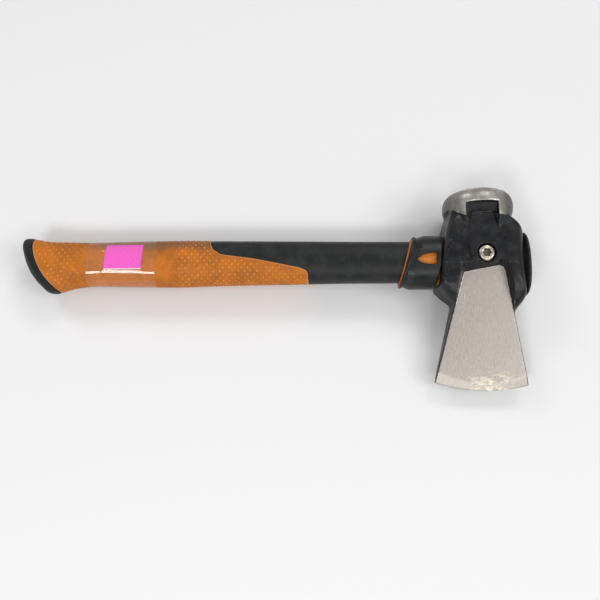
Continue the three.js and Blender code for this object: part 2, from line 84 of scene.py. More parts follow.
EDGE_CENTRE_Y = 22.2
EDGE_CENTRE_X = -0.75
EDGE_RADIUS = 111.6
EDGE_BEVEL = 20.0
BLADE_HALF_ANGLE = 7.4
BLADE_EDGE_HALF = 1.4
FLAT_LEFT = ((-14.9, -8.8), (-35.4, -83.6))
FLAT_RIGHT = ((13.2, -4.6), (27.6, -85.7))
FLAT_TOP = ((-14.9, -8.8), (11.4, -3.7))

HANDLE = np.array([  # x, centre y, half height, half thickness
    (-345, -24, 22.5, 18),
    (-325, -7.2, 25.2, 17),
    (-304, -3.0, 19.4, 15.3),
    (-289, -0.6, 16.6, 13.6),
    (-275, 0.2, 15.6, 13.0),
    (-250, 0.3, 16.0, 13.2),
    (-215, 0.3, 16.4, 13.6),
    (-180, 0.7, 15.8, 13.0),
    (-125, 0.8, 15.2, 12.4),
    (-90, 0.8, 14.8, 12.0),
    (-40, 0.7, 14.5, 12.0),
], float)
OVAL_EXPONENT = 2.3
BUTT_END = ((-274.5, 20.1), 50.2)
BUTT_SEAM = ((-245.8, 28.3), 70.0)
TONGUE = [(-189.6, 40), (-189.6, 13), (-187.4, 8), (-182, 4.3), (-175, 3.2), (-159.7, 1.2),
          (-127.4, -5.3), (-122.9, -7.2), (-121.6, -9.6), (-121.6, -40)]

COLLAR_LEFT = (-53.2, 0.28)  # x on the axis, lean per mm of y
COLLAR_RIGHT = (-30.1, 0.133)
COLLAR_OVAL = (0.5, 18.9, 16.2)
COLLAR_WALL = 2.7
WINDOW = [(-46.8, -0.8), (-43.5, 2), (-39, 3.6), (-33.0, 4.2), (-33.6, -4.1), (-40, -4), (-44.5, -2.8)]

CAP_FOOT_X = 29.3
CAP_OVAL = (-1.0, 22.6, 15.0)
TAPE_X = (-275.5, -227.5)
LABEL_X = (-262.9, -237.0)
LABEL_Y = (-6.0, 11.8)

# ------------------------------------------------------------------ placing


def node_centre(name):
    low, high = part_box(name)
    return (Vector(low) + Vector(high)) / 2


ROTATION = Euler((math.radians(REST_ROLL), math.radians(REST_PITCH), 0), "XYZ").to_matrix()
# The bush is centred on the screw's axis, in the tool's middle plane.
EYE = node_centre("core_bush") - ROTATION @ Vector((*SCREW_AT, 0)) * MM
TO_ROW = Matrix.Translation(EYE) @ ROTATION.to_4x4() @ Matrix.Scale(MM, 4)


def placed(points):
    """Tool-frame points in millimetres as row-frame points in metres."""
    turn = np.array(TO_ROW)
    return points @ turn[:3, :3].T + turn[:3, 3]


def add_mesh(name, points, faces, material, replaces=(), smooth=True, attributes=None):
    """A piece on the root body, from tool-frame points and a list or array of faces."""
    mesh = bpy.data.meshes.new(name)
    mesh.from_pydata(placed(np.asarray(points, float)).tolist(), [], [list(map(int, f)) for f in faces])
    mesh.validate()
    mesh.polygons.foreach_set("use_smooth", [smooth] * len(mesh.polygons))
    for key, values in (attributes or {}).items():
        mesh.attributes.new(key, "FLOAT", "POINT").data.foreach_set("value", np.asarray(values, np.float32))
    rest = mesh.attributes.new("tool", "FLOAT_VECTOR", "POINT")
    rest.data.foreach_set("vector", np.asarray(points, np.float32).ravel())
    mesh.materials.append(material)
    piece = bpy.data.objects.new(name, mesh)
    bpy.context.scene.collection.objects.link(piece)
    if replaces:
        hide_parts(*replaces)
    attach(piece, "root")
    return piece


# ------------------------------------------------------------------ distance fields


def smooth_max(a, b, radius):
    blend = np.maximum(radius - np.abs(a - b), 0) / radius
    return np.maximum(a, b) + blend * blend * radius / 4


def smooth_min(a, b, radius):
    return -smooth_max(-a, -b, radius)


def half_plane(u, v, start, end):
    """Distance from the line start-end, positive on its right-hand side."""
    du, dv = end[0] - start[0], end[1] - start[1]
    return ((u - start[0]) * dv - (v - start[1]) * du) / math.hypot(du, dv)


def convex(u, v, corners, radius):
    """A convex outline with its corners listed anticlockwise, rounded by radius."""
    field = None
    for start, end in zip(corners, corners[1:] + corners[:1]):
        side = half_plane(u, v, start, end)
        field = side if field is None else smooth_max(field, side, radius)
    return field


def surface_net(field, low, high, step):
    """Quads on the zero surface of field(x, y, z), negative inside, on a grid from low to high."""
    axes = [np.arange(a, b + step, step) for a, b in zip(low, high)]
    x, y, z = np.meshgrid(*axes, indexing="ij", sparse=True)
    values = np.broadcast_to(field(x, y, z), [len(a) for a in axes]).astype(np.float32)
    inside = values < 0
    shape = np.array(values.shape) - 1
    count = np.zeros(shape, np.int8)
    corners = [(i, j, k) for i in (0, 1) for j in (0, 1) for k in (0, 1)]
    for i, j, k in corners:
        count += inside[i:shape[0] + i, j:shape[1] + j, k:shape[2] + k]
    cells = np.argwhere((count > 0) & (count < 8))
    number = np.full(shape, -1)
    number[tuple(cells.T)] = np.arange(len(cells))
    total = np.zeros((len(cells), 3))
    crossings = np.zeros(len(cells))
    for a in corners:
        for axis in range(3):
            if a[axis]:
                continue
            b = tuple(c + (n == axis) for n, c in enumerate(a))
            va = values[tuple((cells + a).T)]
            vb = values[tuple((cells + b).T)]
            hit = (va < 0) != (vb < 0)
            t = np.where(hit, va / np.where(hit, va - vb, 1), 0)
            point = np.array(a, float) + t[:, None] * (np.array(b) - a)
            total += point * hit[:, None]
            crossings += hit
    points = np.array(low) + (cells + total / crossings[:, None]) * step
    faces = []
    for axis in range(3):
        u, v = [n for n in range(3) if n != axis]
        ahead = [slice(None)] * 3
        behind = [slice(None)] * 3
        ahead[axis], behind[axis] = slice(1, None), slice(None, -1)
        first, second = inside[tuple(behind)], inside[tuple(ahead)]
        edges = np.argwhere(first != second)
        within = (edges[:, u] > 0) & (edges[:, v] > 0) & (edges[:, u] < shape[u]) & (edges[:, v] < shape[v])
        edges = edges[within]
        starts_inside = first[tuple(edges.T)]
        quad = []
        for du, dv in ((-1, -1), (0, -1), (0, 0), (-1, 0)):
            cell = edges.copy()
            cell[:, u] += du
            cell[:, v] += dv
            quad.append(number[tuple(cell.T)])
        quad = np.stack(quad, 1)
        flip = starts_inside if axis != 1 else ~starts_inside
        quad[~flip] = quad[~flip][:, ::-1]
        faces.append(quad)
    return settle(field, points, step), np.concatenate(faces)


def settle(field, points, step):
    """Moves points onto the zero surface along the field's gradient."""
    h = step * 0.2
    for _ in range(3):
        value = field(*points.T)
        slope = np.stack([
            (field(*(points + d).T) - field(*(points - d).T)) / (2 * h) for d in np.eye(3) * h
        ], 1)
        move = value / np.maximum((slope ** 2).sum(1), 0.05)
        points = points - slope * np.clip(move, -0.5 * step, 0.5 * step)[:, None]
    return points


# ------------------------------------------------------------------ the head


def ground_half(y):
    """Half thickness of the blade at its ground cheeks."""
    edge_y = EDGE_CENTRE_Y - EDGE_RADIUS
    return BLADE_EDGE_HALF + (y - edge_y) * math.tan(math.radians(BLADE_HALF_ANGLE))


def flat_outline(x, y, lean):
    """Outline of the ground flat, negative inside; its borders move out by lean."""
    left = half_plane(x, y, FLAT_LEFT[0], FLAT_LEFT[1]) - lean
    right = half_plane(x, y, FLAT_RIGHT[1], FLAT_RIGHT[0]) - lean
    top = half_plane(x, y, FLAT_TOP[1], FLAT_TOP[0]) - lean
    return smooth_max(smooth_max(left, top, 1.0), smooth_max(right, top, 6.0), 0.3)


def eye_block(x, y, height):
    """The forged block round the eye, with its two lugs beside the blade's root."""
    outline = convex(x, y, BLOCK_OUTLINE, 2.5)
    cheek = height - np.interp(y, *zip(*BLOCK_CHEEK))
    block = smooth_max(outline, cheek, 4.0)
    left = convex(x, y, LEFT_LUG, 1.6)
    right = convex(x, y, RIGHT_LUG, 2.0)
    lug_cheek = height - np.interp(y, *zip(*LUG_CHEEK))
    lugs = smooth_max(np.minimum(left, right), lug_cheek, 5.0)
    return smooth_max(smooth_min(block, lugs, 0.8), end_rounding(x, height), 1.0)


def end_rounding(x, height):
    """Distance outside a quarter round, where the cheeks turn towards the cap."""
    across = np.maximum(x - END_X + END_ROUNDING, 0)
    up = np.maximum(height - 19.2 + END_ROUNDING, 0)
    return np.hypot(across, up) - END_ROUNDING


def band_start(x, height):
    """Where the poll's ground band starts; it runs further down beside the groove."""
    beside = np.interp(height, [8, 14, 20], [POLL_BAND_Y, 34.6, 29.0])
    return np.where((x > NOTCH_X[0]) & (x < NOTCH_X[1]), POLL_BAND_Y, beside)


def head_field(x, y, z):
    height = np.abs(z)
    block = smooth_max(eye_block(x, y, height), y - 39, 3.0)

    # Round poll: a turned band, a crowned face and a cone behind them.
    radius = np.sqrt(x * x + z * z)
    crown = np.sqrt(radius ** 2 + (y - POLL_FACE_Y + CROWN_RADIUS) ** 2) - CROWN_RADIUS
    cone = 0.923 * (radius - POLL_RADIUS) - 0.386 * (y - band_start(x, height))
    poll = smooth_max(smooth_max(radius - POLL_RADIUS, crown, POLL_ROUNDING), cone, 1.2)
    poll = smooth_max(poll, 6 - y, 1.0)
    corner = radius - POLL_RADIUS - 1.1 * np.maximum(band_start(x, height) - y, 0)
    head = smooth_min(smooth_max(block, corner, 0.8), poll, 1.0)

    # Blade: wedge, side faces, and the bevels of the cutting edge.
    wedge = (height - ground_half(y)) * math.cos(math.radians(BLADE_HALF_ANGLE))
    sides = np.maximum(half_plane(x, y, FLAT_LEFT[0], FLAT_LEFT[1]),
                       half_plane(x, y, FLAT_RIGHT[1], FLAT_RIGHT[0]))
    rim = np.sqrt((x - EDGE_CENTRE_X) ** 2 + (y - EDGE_CENTRE_Y) ** 2) - EDGE_RADIUS
    bevel = math.radians(EDGE_BEVEL)
    edge = rim * math.sin(bevel) + (height - 0.25) * math.cos(bevel)
    blade = smooth_max(smooth_max(wedge, sides - 0.3, 1.0), np.maximum(edge, rim), 0.25)
    blade = smooth_max(blade, y - 2, 1.0)
    head = smooth_min(head, blade, 3.0)

    # The grinder's flat: everything over the cheek plane goes, inside walls that lean outwards.
    above = height - ground_half(y)
    cut = smooth_max(-above, flat_outline(x, y, 0.35 * np.maximum(above, 0)), 0.4)
    head = smooth_max(head, -cut, 0.15)

    # Pad round the screw, and the groove with its ramp at the poll.
    pad = smooth_max(convex(x, y, PAD_OUTLINE, 2.0), height - PAD_Z, 1.2)
    pad = smooth_max(pad, 12 - height, 1.0)
    groove = np.maximum(np.maximum(NOTCH_X[0] - x, x - NOTCH_X[1]),
                        np.maximum(NOTCH_LOW_Y - y, y - NOTCH_Y[1]))
    floor = np.interp(y, *zip(*NOTCH_FLOOR))
    head = smooth_max(head, -smooth_max(groove, floor - height, 0.5), 0.6)
    head = smooth_min(head, pad, 1.0)

    # Counterbore of the screw, and the eye's mouth under the cap and the collar.
    from_screw = np.sqrt((x - SCREW_AT[0]) ** 2 + (y - SCREW_AT[1]) ** 2)
    bore = smooth_max(from_screw - 6.5, PAD_Z - 5.4 - height, 0.4)
    bore = np.minimum(bore, from_screw - 5.1)
    eye = oval_field(y, z, 0, 17, 10.4, 3.4)
    return np.maximum(smooth_max(head, -bore, 0.6), -eye)


def oval_field(y, z, centre, high, thick, exponent=OVAL_EXPONENT):
    """Roughly the distance from an oval section, negative inside."""
    scaled = (np.abs((y - centre) / high) ** exponent + np.abs(z / thick) ** exponent) ** (1 / exponent)
    return (scaled - 1) * np.minimum(high, thick)


def head_bareness(x, y, z):
    """Signed distance into the bare ground steel, about in millimetres; negative under paint."""
    height = np.abs(z)
    outline = -flat_outline(x, y, 0 * y)
    on_plane = 0.35 - (ground_half(y) - height)
    on_flat = np.minimum(outline - 0.3, np.where(y < -70, 2.0, on_plane * 4))
    radius = np.sqrt(x * x + z * z)
    on_poll = y - band_start(x, height)
    in_groove = np.maximum(NOTCH_X[0] - x, x - NOTCH_X[1])
    in_groove = np.maximum(in_groove, y - NOTCH_Y[1]) - 0.1
    on_poll = np.minimum(on_poll, np.where(height > 10, in_groove, 5.0))
    on_poll = np.minimum(on_poll, np.where(y < POLL_BAND_Y, (radius - POLL_RADIUS + 0.6) * 3, 5.0))
    return np.maximum(on_flat, on_poll)

# ------------------------------------------------------------------ the handle's surface


def handle_section(x):
    """Centre y, half height and half thickness of the handle at x, on a smooth curve."""
    stations = HANDLE[:, 0]
    last = len(stations) - 1
    i = np.clip(np.searchsorted(stations, x, "right") - 1, 0, last - 1)
    before, after = np.maximum(np.arange(last + 1) - 1, 0), np.minimum(np.arange(last + 1) + 1, last)
    slopes = (HANDLE[after] - HANDLE[before]) / (stations[after] - stations[before])[:, None]
    span = stations[i + 1] - stations[i]
    t = (x - stations[i]) / span
    values = []
    for column in (1, 2, 3):
        a, b = HANDLE[i, column], HANDLE[i + 1, column]
        values.append(
            (2 * t ** 3 - 3 * t ** 2 + 1) * a + (t ** 3 - 2 * t ** 2 + t) * span * slopes[i, column]
            + (3 * t ** 2 - 2 * t ** 3) * b + (t ** 3 - t ** 2) * span * slopes[i + 1, column])
    return values


def on_handle(x, angle, lift=0.0):
    """Points on the handle's skin, moved out along its normal by lift."""
    centre, high, thick = handle_section(x)
    power = 2 / OVAL_EXPONENT
    c, s = np.cos(angle), np.sin(angle)
    y = high * np.sign(c) * np.abs(c) ** power
    z = thick * np.sign(s) * np.abs(s) ** power
    exponent = OVAL_EXPONENT - 1
    ny = np.sign(y) * np.abs(y / high) ** exponent / high
    nz = np.sign(z) * np.abs(z / thick) ** exponent / thick
    length = np.hypot(ny, nz)
    return np.stack([x + 0 * y, centre + y + lift * ny / length, z + lift * nz / length], -1)


def arc_points(centre, radius, start, end, count=40):
    """Points on an arc, each (x, y), from the start angle to the end angle in degrees."""
    return [(centre[0] + radius * math.cos(a), centre[1] + radius * math.sin(a))
            for a in np.radians(np.linspace(start, end, count))]


def polyline_distance(line, x, y):
    """Distance in the xy plane from each point to a polyline."""
    nearest = np.full(np.broadcast(x, y).shape, 1e9)
    for (ax, ay), (bx, by) in zip(line, line[1:]):
        dx, dy = bx - ax, by - ay
        t = np.clip(((x - ax) * dx + (y - ay) * dy) / (dx * dx + dy * dy), 0, 1)
        nearest = np.minimum(nearest, np.hypot(x - ax - t * dx, y - ay - t * dy))
    return nearest


def boundary_x(line, angle):
    """Where each angle's line along the handle meets a boundary across it, drawn in the xy plane."""
    line = sorted(line, key=lambda p: p[1])
    ys, xs = [p[1] for p in line], [p[0] for p in line]
    x = np.full_like(angle, float(np.mean(xs)))
    for _ in range(60):
        x = 0.5 * x + 0.5 * np.interp(on_handle(x, angle)[..., 1], ys, xs)
    return x


def handle_skin(left, right, columns, rows, lip):
    """Grid of points round the handle between two boundaries, with edges rounded down by lip."""
    angle = np.linspace(0, 2 * math.pi, rows, endpoint=False)
    start, end = boundary_x(left, angle), boundary_x(right, angle)
    u = np.linspace(0, 1, columns)
    fine = u[1] * np.array([0.04, 0.1, 0.2, 0.4])  # closer columns where the lip curves down
    u = np.unique(np.concatenate([u, fine, 1 - fine]))
    x = start[:, None] + (end - start)[:, None] * u
    angles = np.broadcast_to(angle[:, None], x.shape)
    flat = on_handle(x, angles)
    from_edge = np.minimum(polyline_distance(left, flat[..., 0], flat[..., 1]),
                           polyline_distance(right, flat[..., 0], flat[..., 1]))
    fall = lip - np.sqrt(lip ** 2 - (lip - np.minimum(from_edge, lip)) ** 2)
    skin = on_handle(x, angles, -fall)
    ends = [on_handle(x[:, [c]], angles[:, [c]], -lip - 1.6) for c in (0, -1)]
    grid = np.concatenate([ends[0], skin, ends[1]], 1)
    from_edge = np.pad(from_edge, ((0, 0), (1, 1)))
    return grid, from_edge


def grid_faces(rows, columns, wrap=True):
    """Quads of a grid of points stored row by row; wrap joins the last row to the first.

    On the handle, with the angle growing by row and x by column, they face outwards.
    """
    row = np.arange(rows if wrap else rows - 1)[:, None]
    column = np.arange(columns - 1)[None, :]
    below = (row + 1) % rows
    return np.stack([row * columns + column, below * columns + column,
                     below * columns + column + 1, row * columns + column + 1], -1).reshape(-1, 4)


DOT_PITCH_X = 4.3
DOT_ROW = 2.5
DOT_RADIUS = 0.85
DOT_HEIGHT = 0.32
DOT_SIDES = 8


def grip_dots(left, right):
    """Low round dots in staggered rows on the grip: points, faces and how high each point's dot is."""
    perimeter = 96.0
    rows = 2 * round(perimeter / DOT_ROW / 2)
    fine = np.linspace(0, 2 * math.pi, 721)
    ring = on_handle(np.full_like(fine, -230.0), fine)
    length = np.concatenate([[0], np.cumsum(np.linalg.norm(np.diff(ring, axis=0), axis=1))])
    angles = np.interp(np.arange(rows) / rows * length[-1], length, fine)
    spots = []
    for row, angle in enumerate(angles):
        x = np.arange(-318, -118, DOT_PITCH_X) + (row % 2) * DOT_PITCH_X / 2
        spots.append(np.stack([x, np.full_like(x, angle)], 1))
    spots = np.concatenate(spots)
    at = on_handle(spots[:, 0], spots[:, 1])
    lefts = np.interp(at[:, 1], *zip(*sorted((p[1], p[0]) for p in left)))
    rights = np.interp(at[:, 1], *zip(*sorted((p[1], p[0]) for p in right)))
    clear = np.minimum(polyline_distance(left, at[:, 0], at[:, 1]),
                       polyline_distance(right, at[:, 0], at[:, 1]))
    kept = (at[:, 0] > lefts) & (at[:, 0] < rights) & (clear > 2.6)
    spots = spots[kept]
    # Hands have worn the dots low in the middle of the grip.
    proud = np.interp(spots[:, 0], [-300, -284, -262, -218, -206, -150], [0.9, 0.6, 0.2, 0.3, 1.0, 0.7])
    around = np.linspace(0, 2 * math.pi, DOT_SIDES + 1)[:-1]
    circle = on_handle(spots[:, :1], spots[:, 1:])
    points, faces, dot = [], [], []
    for n, (x, angle) in enumerate(spots):
        tangent = on_handle(np.array(x), np.array(angle + 0.01)) - circle[n, 0]
        turn = 0.01 / np.linalg.norm(tangent)
        base = len(points)
        for reach, rise in ((1.0, -0.12), (0.72, 0.72 * DOT_HEIGHT), (0.38, 0.97 * DOT_HEIGHT)):
            dx, da = DOT_RADIUS * reach * np.cos(around), DOT_RADIUS * reach * np.sin(around) * turn
            lift = rise * proud[n] if rise > 0 else rise
            points += list(on_handle(x + dx, angle + da, lift))
            dot += [proud[n] * (reach < 0.9)] * DOT_SIDES
        points.append(on_handle(np.array(x), np.array(angle), DOT_HEIGHT * proud[n]))
        dot.append(proud[n])
        for ring_start in (base, base + DOT_SIDES):
            for k in range(DOT_SIDES):
                after = ring_start + (k + 1) % DOT_SIDES
                faces.append((after, after + DOT_SIDES, ring_start + DOT_SIDES + k, ring_start + k))
        top = base + 2 * DOT_SIDES
        faces += [(top + (k + 1) % DOT_SIDES, top + DOT_SIDES, top + k) for k in range(DOT_SIDES)]
    return np.array(points), faces, np.array(dot)


def butt_field(x, y, z):
    """Rubber cap on the butt: the handle's oval, a domed end, and the seam to the grip."""
    centre, high, thick = handle_section(x)
    oval = oval_field(y, z, centre, high, thick)
    (end_x, end_y), end_radius = BUTT_END
    inset = np.interp(np.abs(z), [0, 6, 10, 13, 15.2, 17.4, 19], [0, 0.8, 2.3, 4.6, 7.5, 12, 16])
    dome = (np.hypot(x - end_x, y - end_y) - end_radius + inset) * 0.85
    (seam_x, seam_y), seam_radius = BUTT_SEAM
    seam = seam_radius + 0.15 - np.hypot(x - seam_x, y - seam_y)
    return smooth_max(smooth_max(oval, dome, 3.5), seam, 0.9)


def collar_field(x, y, z):
    """Hard guard: an oval tube with a rolled rim, a cone behind it, and a leaf-shaped window."""
    centre, high, thick = COLLAR_OVAL
    along = x - COLLAR_LEFT[0] - COLLAR_LEFT[1] * y
    oval = oval_field(y, z, centre, high, thick)
    step = np.interp(along, [0, 0.7, 2.0, 2.7, 7.5], [1.2, 0.7, 0.75, 1.5, 0])
    tube = np.maximum(oval + step, -oval - COLLAR_WALL)
    tube = smooth_max(tube, -along, 0.8)
    tube = smooth_max(tube, x - COLLAR_RIGHT[0] - COLLAR_RIGHT[1] * y, 1.2)
    window = convex(x, y, WINDOW[::-1], 0.6)
    return smooth_max(tube, -window, 0.9)


# ------------------------------------------------------------------ turned and lofted pieces


def ringed(rings, segments):
    """Closed surface through rings of equal length, the first and last closed by a middle point."""
    points = np.concatenate(rings)
    faces = []
    for r in range(len(rings) - 1):
        a, b = r * segments, (r + 1) * segments
        faces += [(a + k, a + (k + 1) % segments, b + (k + 1) % segments, b + k) for k in range(segments)]
    first, last = len(points), len(points) + 1
    points = np.concatenate([points, [rings[0].mean(0)], [rings[-1].mean(0)]])
    end = (len(rings) - 1) * segments
    faces += [(first, (k + 1) % segments, k) for k in range(segments)]
    faces += [(last, end + k, end + (k + 1) % segments) for k in range(segments)]
    return points, faces


def screw_shape(top, under, foot):
    """Pan head with a six-lobed socket, on a plain shank, and which of its points are in the socket."""
    segments = 72
    angle = np.linspace(0, 2 * math.pi, segments, endpoint=False)
    lobes = 2.75 + 0.32 * np.cos(6 * angle)
    profile = [(0.7, top - 2.3), (0.93, top - 2.1), (1.0, top - 0.35), (1.09, top - 0.02)]
    rings = [(lobes * k, z) for k, z in profile]
    rings += [(np.full(segments, r), z) for r, z in (
        (3.9, top), (4.5, top - 0.12), (5.0, top - 0.42), (5.4, top - 0.95), (5.66, top - 1.6),
        (5.75, top - 2.3), (5.75, under + 0.3), (5.5, under), (3.05, under), (3.0, under - 0.1),
        (3.0, foot + 0.8), (2.3, foot))]
    made = []
    for r, z in rings:
        x, y = SCREW_AT[0] + r * np.cos(angle), SCREW_AT[1] + r * np.sin(angle)
        made.append(np.stack([x, y, np.full(segments, z)], 1))
    points, faces = ringed(made, segments)
    in_socket = np.zeros(len(points))
    in_socket[:3 * segments] = 1
    in_socket[-2] = 1
    return points, [f[::-1] for f in faces], in_socket


def cap_shape():
    """Oval rubber cap with a rolled edge and a low dome."""
    segments = 96
    angle = np.linspace(0, 2 * math.pi, segments, endpoint=False)
    centre, high, thick = CAP_OVAL
    power = 2 / OVAL_EXPONENT
    rings = []
    profile = [(-2.0, 4.0), (0.0, 0.7), (0.25, 0.25), (0.7, 0.0), (1.2, 0.05), (1.7, 0.5), (2.0, 1.1),
               (2.15, 1.9), (2.2, 2.6), (2.5, 3.2), (2.95, 4.4), (3.4, 6.6), (3.75, 9.2), (3.95, 12.0)]
    for rise, shrink in profile:
        y = centre + (high - shrink) * np.sign(np.cos(angle)) * np.abs(np.cos(angle)) ** power
        z = (thick - shrink) * np.sign(np.sin(angle)) * np.abs(np.sin(angle)) ** power
        rings.append(np.stack([np.full(segments, CAP_FOOT_X + rise), y, z], 1))
    points, faces = ringed(rings, segments)
    return points, faces


def label_shape():
    """Paper label on the upper side of the grip; its lower edge has come loose."""
    columns, rows = 44, 34
    x = np.linspace(*LABEL_X, columns)
    y = np.linspace(*LABEL_Y, rows)
    x, y = np.meshgrid(x, y)
    x = x + 0.05 * (y - LABEL_Y[0])
    centre, high, thick = handle_section(x)
    z = thick * (1 - np.abs((y - centre) / high) ** OVAL_EXPONENT) ** (1 / OVAL_EXPONENT)
    loose = np.clip(1 - (y - LABEL_Y[0]) / 3.0, 0, 1) ** 2
    lift = 0.16 + loose * (0.1 + 0.05 * np.sin((x - LABEL_X[0]) * 0.55))
    return np.stack([x, y - 0.3 * loose, z + lift], -1), rows, columns


def tape_shape():
    """Clear film wound round the grip over the label, with slight wrinkles."""
    columns, rows = 80, 260
    x = np.linspace(*TAPE_X, columns)[None, :]
    angle = np.linspace(0, 2 * math.pi, rows, endpoint=False)[:, None]
    x, angle = np.broadcast_arrays(x, angle)
    y = on_handle(x, angle)[..., 1]
    inside_x = np.minimum(x - LABEL_X[0] + 4, LABEL_X[1] + 4 - x)
    inside = np.minimum(inside_x, np.minimum(y - LABEL_Y[0] + 4, LABEL_Y[1] + 4 - y))
    over_label = np.clip(inside / 4.0, 0, 1) ** 2 * (np.sin(angle) > 0)
    near_top = np.clip((y - 10) / 4, 0, 1)
    wrinkles = (0.004 + 0.05 * near_top) * np.sin(0.9 * x + 14 * angle) * np.sin(0.37 * x - 9 * angle)
    return on_handle(x, angle, 0.32 + 0.16 * over_label + wrinkles), rows, columns

# ------------------------------------------------------------------ materials


class Surface:
    """A material whose nodes are added by short calls; every position is in millimetres."""

    def __init__(self, name, **inputs):
        self.material = bpy.data.materials.new(name)
        self.material.use_nodes = True
        self.tree = self.material.node_tree
        self.shader = self.tree.nodes["Principled BSDF"]
        for key, value in inputs.items():
            self.set(key.replace("_", " ").title().replace("Ior", "IOR"), value)
        self.place = self.attribute("tool", "Vector")

    def set(self, socket, value):
        target = self.shader.inputs[socket]
        if isinstance(value, bpy.types.NodeSocket):
            self.tree.links.new(value, target)
        else:
            target.default_value = (*value, 1.0) if isinstance(value, tuple) and len(value) == 3 else value

    def node(self, kind, output, links, **settings):
        node = self.tree.nodes.new("ShaderNode" + kind)
        for key, value in settings.items():
            setattr(node, key, value)
        for key, value in links.items():
            if isinstance(value, bpy.types.NodeSocket):
                self.tree.links.new(value, node.inputs[key])
            elif isinstance(value, tuple) and len(value) == 3 and node.inputs[key].type == "RGBA":
                node.inputs[key].default_value = (*value, 1.0)
            else:
                node.inputs[key].default_value = value
        return node.outputs[output]

    def attribute(self, name, output="Fac"):
        return self.node("Attribute", output, {}, attribute_name=name)

    def from_object(self):
        """Positions of a CAD node, in millimetres in the row frame."""
        place = self.node("TexCoord", "Object", {})
        to_mm = (1000.0, 1000.0, 1000.0)
        self.place = self.node("VectorMath", "Vector", {0: place, 1: to_mm}, operation="MULTIPLY")
        return self

    def stretched(self, x=1.0, y=1.0, z=1.0, turn=0.0):
        return self.node("Mapping", "Vector",
                         {"Vector": self.place, "Scale": (x, y, z), "Rotation": (0, 0, turn)})

    def noise(self, size, detail=3.0, rough=0.55, place=None, distortion=0.0):
        """Noise from 0 to 1 whose features are about size millimetres across."""
        return self.node("TexNoise", "Fac",
                         {"Vector": place or self.place, "Scale": 1.0 / size, "Detail": detail,
                          "Roughness": rough, "Distortion": distortion})

    def math(self, operation, a, b=0.0, clamp=False):
        return self.node("Math", 0, {0: a, 1: b}, operation=operation, use_clamp=clamp)

    def step(self, value, low, high, smooth=True):
        """0 below low and 1 above high; low may be the larger of the two."""
        return self.node("MapRange", "Result", {"Value": value, "From Min": low, "From Max": high},
                         interpolation_type="SMOOTHSTEP" if smooth else "LINEAR")

    def mix(self, share, a, b):
        return self.node("Mix", 2, {0: share, 6: a, 7: b}, data_type="RGBA")

    def lerp(self, share, a, b):
        return self.node("Mix", 0, {0: share, 2: a, 3: b}, data_type="FLOAT")

    def axis(self, which):
        return self.node("SeparateXYZ", which, {"Vector": self.place})

    def bump(self, height, depth, strength=1.0, under=None):
        """Relief whose full height is depth millimetres."""
        links = {"Height": height, "Distance": depth * MM, "Strength": strength}
        if under is not None:
            links["Normal"] = under
        normal = self.node("Bump", "Normal", links)
        self.set("Normal", normal)
        return normal


